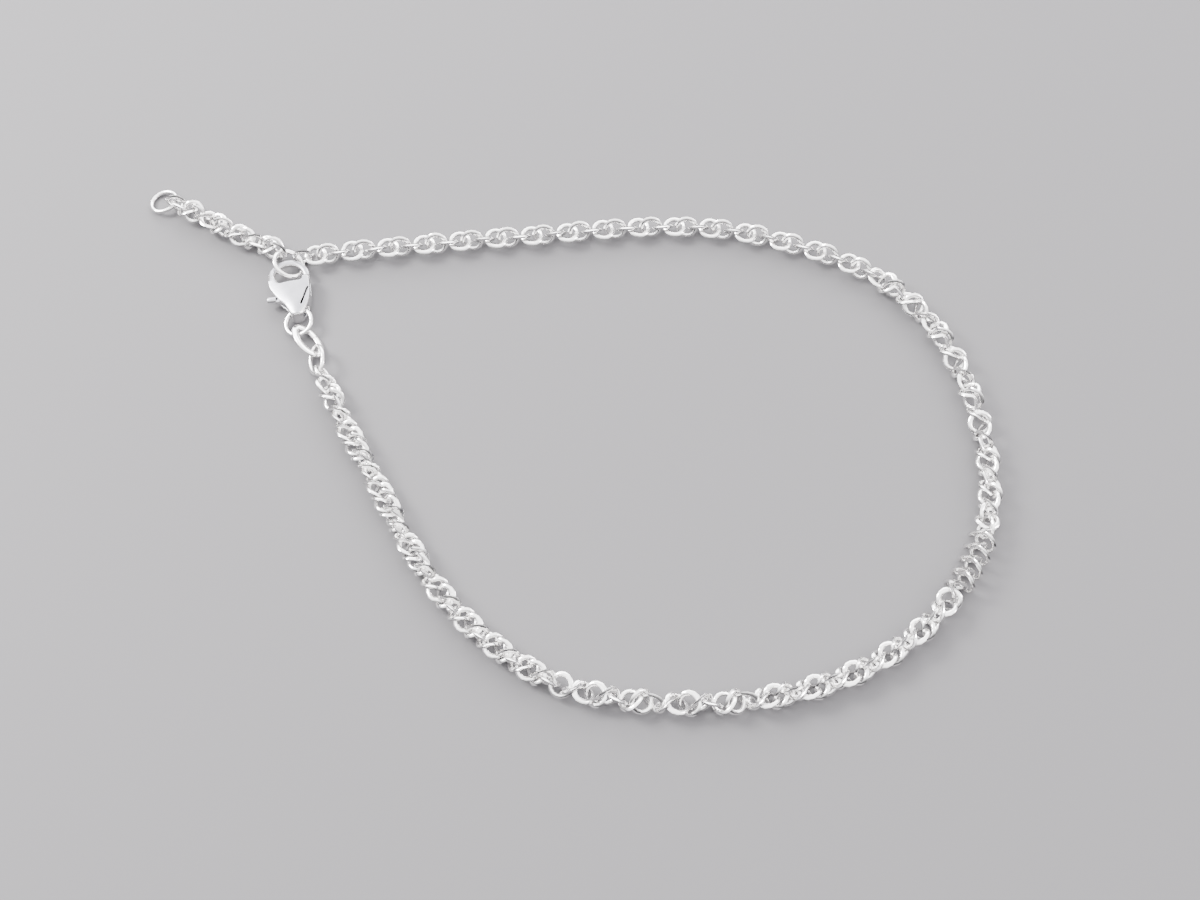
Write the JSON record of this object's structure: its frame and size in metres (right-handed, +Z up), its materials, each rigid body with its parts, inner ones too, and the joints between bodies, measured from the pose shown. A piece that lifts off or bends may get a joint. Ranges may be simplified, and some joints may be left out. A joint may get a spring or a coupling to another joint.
{
  "type": "anklet",
  "caption": "Twisted silver chain anklet lying as a closed loop, its lobster clasp hooked into a ring at the root of a short extender tail.",
  "frame": {"origin": "middle of the anklet's outline on the surface that it lies on", "axes": "+X along the loop's long side, away from the clasp; +Y across the loop towards the clasp's hook; +Z up"},
  "size_m": [0.1047, 0.0703, 0.003],
  "materials": {
    "chain_silver": "bright polished silver, links flattened to small facets",
    "ring_silver": "bright polished silver wire, lightly worn",
    "clasp_silver": "cast silver, satin faces and polished rounded edges",
    "pin_steel": "plain steel"
  },
  "bodies": {
    "anklet": {"main_chain": "chain_silver", "clasp_body": "clasp_silver", "lever_pin": "pin_steel", "clasp_ring": "ring_silver", "connector_link": "ring_silver", "second_link": "ring_silver", "chain_end_link": "ring_silver", "middle_ring": "ring_silver", "tail_link_01": "chain_silver", "tail_link_02": "chain_silver", "tail_link_03": "chain_silver", "tail_link_04": "chain_silver", "tail_link_05": "chain_silver", "tail_link_06": "chain_silver", "tail_link_07": "chain_silver", "tail_link_08": "chain_silver", "tail_link_09": "chain_silver", "tail_link_10": "chain_silver", "tail_link_11": "chain_silver", "tail_link_12": "chain_silver", "tail_link_13": "chain_silver", "tail_link_14": "chain_silver", "tail_link_15": "chain_silver", "tail_link_16": "chain_silver", "tail_link_17": "chain_silver", "tail_link_18": "chain_silver", "end_ring": "ring_silver"},
    "lever": {"clasp_lever": "clasp_silver"}
  },
  "joints": [
    {"name": "lever_pivot", "type": "hinge", "parent": "anklet", "child": "lever", "pos_m": [-0.03122, 0.01786, 0.0012], "axis": [0, 0, 1], "range_deg": [0, 14], "stiffness_Nm_per_rad": 0.005, "springref_deg": -9.74}
  ]
}
